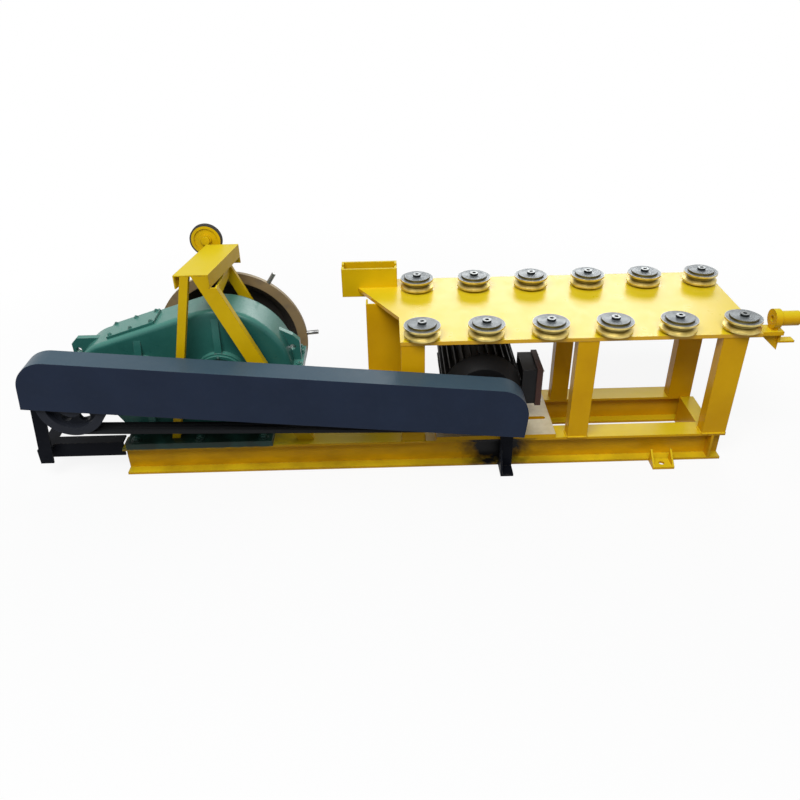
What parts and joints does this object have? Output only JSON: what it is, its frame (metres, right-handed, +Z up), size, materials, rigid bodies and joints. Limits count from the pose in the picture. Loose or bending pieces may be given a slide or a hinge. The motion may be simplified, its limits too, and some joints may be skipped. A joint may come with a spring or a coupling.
{
  "type": "wire drawing machine",
  "caption": "Floor standing wire drawing machine: rails carry a gear reducer with a flanged drum, a belt driven motor, and a table with rows of straightening rollers.",
  "frame": {"origin": "on the floor, under the middle of the front rail", "axes": "+X along the rails towards the wire inlet, +Y from the belt guard to the drum, +Z up"},
  "size_m": [2.299, 0.562, 0.719],
  "materials": {
    "yellow_paint": "gloss enamel",
    "blue_paint": "gloss enamel",
    "green_paint": "gloss enamel",
    "black_paint": "satin paint",
    "dark_paint": "satin paint",
    "bright_steel": "turned",
    "drum_paint": "worn tan paint",
    "cast_grey": "machined",
    "belt_rubber": "matte"
  },
  "bodies": {
    "machine": {"anchor_lugs": "yellow_paint", "beam_stretcher": "yellow_paint", "bearing_caps": "green_paint", "belt_guard": "blue_paint", "die_box": "yellow_paint", "die_leg": "yellow_paint", "front_brace": "yellow_paint", "front_legs": "yellow_paint", "front_post": "yellow_paint", "front_rail": "yellow_paint", "gearbox_base": "green_paint", "gearbox_cover": "green_paint", "guard_left_stand": "dark_paint", "guard_right_stand": "dark_paint", "inlet_bracket": "yellow_paint", "inlet_tube": "yellow_paint", "inspection_hatch": "green_paint", "left_cross_beam": "yellow_paint", "motor_base": "yellow_paint", "motor_end_shields": "black_paint", "motor_fan_cowl": "black_paint", "motor_frame": "black_paint", "motor_terminal_box": "black_paint", "rear_brace": "yellow_paint", "rear_legs": "yellow_paint", "rear_post": "yellow_paint", "rear_rail": "yellow_paint", "right_cross_beam": "yellow_paint", "roller_pins": "bright_steel", "table_top": "yellow_paint", "top_beam": "yellow_paint", "v_belts": "belt_rubber", "wheel_bracket": "yellow_paint"},
    "drum": {"drum": "drum_paint", "drum_pins": "bright_steel", "output_shaft": "bright_steel"},
    "input_drive": {"driven_pulley": "cast_grey", "input_shaft": "bright_steel"},
    "motor_drive": {"motor_pulley": "cast_grey", "motor_shaft": "bright_steel"},
    "guide_wheel": {"guide_wheel": "yellow_paint"},
    "roller_01": {"roller_01": "bright_steel"},
    "roller_02": {"roller_02": "bright_steel"},
    "roller_03": {"roller_03": "bright_steel"},
    "roller_04": {"roller_04": "bright_steel"},
    "roller_05": {"roller_05": "bright_steel"},
    "roller_06": {"roller_06": "bright_steel"},
    "roller_07": {"roller_07": "bright_steel"},
    "roller_08": {"roller_08": "bright_steel"},
    "roller_09": {"roller_09": "bright_steel"},
    "roller_10": {"roller_10": "bright_steel"},
    "roller_11": {"roller_11": "bright_steel"},
    "roller_12": {"roller_12": "bright_steel"}
  },
  "joints": [
    {"name": "drum_spin", "type": "hinge", "parent": "machine", "child": "drum", "pos_m": [-0.619, 0.317, 0.315], "axis": [0, 1, 0], "continuous": true},
    {"name": "input_spin", "type": "hinge", "parent": "machine", "child": "input_drive", "pos_m": [-1.033, -0.09, 0.315], "axis": [0, 1, 0], "continuous": true},
    {"name": "motor_spin", "type": "hinge", "parent": "machine", "child": "motor_drive", "pos_m": [0.18, -0.09, 0.246], "axis": [0, 1, 0], "continuous": true},
    {"name": "guide_wheel_spin", "type": "hinge", "parent": "machine", "child": "guide_wheel", "pos_m": [-0.657, 0.255, 0.67], "axis": [0, 1, 0], "continuous": true},
    {"name": "roller_01_spin", "type": "hinge", "parent": "machine", "child": "roller_01", "pos_m": [-0.009, -0.007, 0.48], "axis": [0, 0, 1], "continuous": true},
    {"name": "roller_02_spin", "type": "hinge", "parent": "machine", "child": "roller_02", "pos_m": [0.179, -0.007, 0.48], "axis": [0, 0, 1], "continuous": true},
    {"name": "roller_03_spin", "type": "hinge", "parent": "machine", "child": "roller_03", "pos_m": [0.367, -0.007, 0.48], "axis": [0, 0, 1], "continuous": true},
    {"name": "roller_04_spin", "type": "hinge", "parent": "machine", "child": "roller_04", "pos_m": [0.555, -0.007, 0.48], "axis": [0, 0, 1], "continuous": true},
    {"name": "roller_05_spin", "type": "hinge", "parent": "machine", "child": "roller_05", "pos_m": [0.743, -0.007, 0.48], "axis": [0, 0, 1], "continuous": true},
    {"name": "roller_06_spin", "type": "hinge", "parent": "machine", "child": "roller_06", "pos_m": [0.931, -0.007, 0.48], "axis": [0, 0, 1], "continuous": true},
    {"name": "roller_07_spin", "type": "hinge", "parent": "machine", "child": "roller_07", "pos_m": [-0.009, 0.342, 0.48], "axis": [0, 0, 1], "continuous": true},
    {"name": "roller_08_spin", "type": "hinge", "parent": "machine", "child": "roller_08", "pos_m": [0.179, 0.342, 0.48], "axis": [0, 0, 1], "continuous": true},
    {"name": "roller_09_spin", "type": "hinge", "parent": "machine", "child": "roller_09", "pos_m": [0.367, 0.342, 0.48], "axis": [0, 0, 1], "continuous": true},
    {"name": "roller_10_spin", "type": "hinge", "parent": "machine", "child": "roller_10", "pos_m": [0.555, 0.342, 0.48], "axis": [0, 0, 1], "continuous": true},
    {"name": "roller_11_spin", "type": "hinge", "parent": "machine", "child": "roller_11", "pos_m": [0.743, 0.342, 0.48], "axis": [0, 0, 1], "continuous": true},
    {"name": "roller_12_spin", "type": "hinge", "parent": "machine", "child": "roller_12", "pos_m": [0.931, 0.342, 0.48], "axis": [0, 0, 1], "continuous": true}
  ],
  "couplings": [
    {"joint": "input_spin", "follows": "drum_spin", "ratio": 15.75},
    {"joint": "motor_spin", "follows": "drum_spin", "ratio": 25.403}
  ]
}
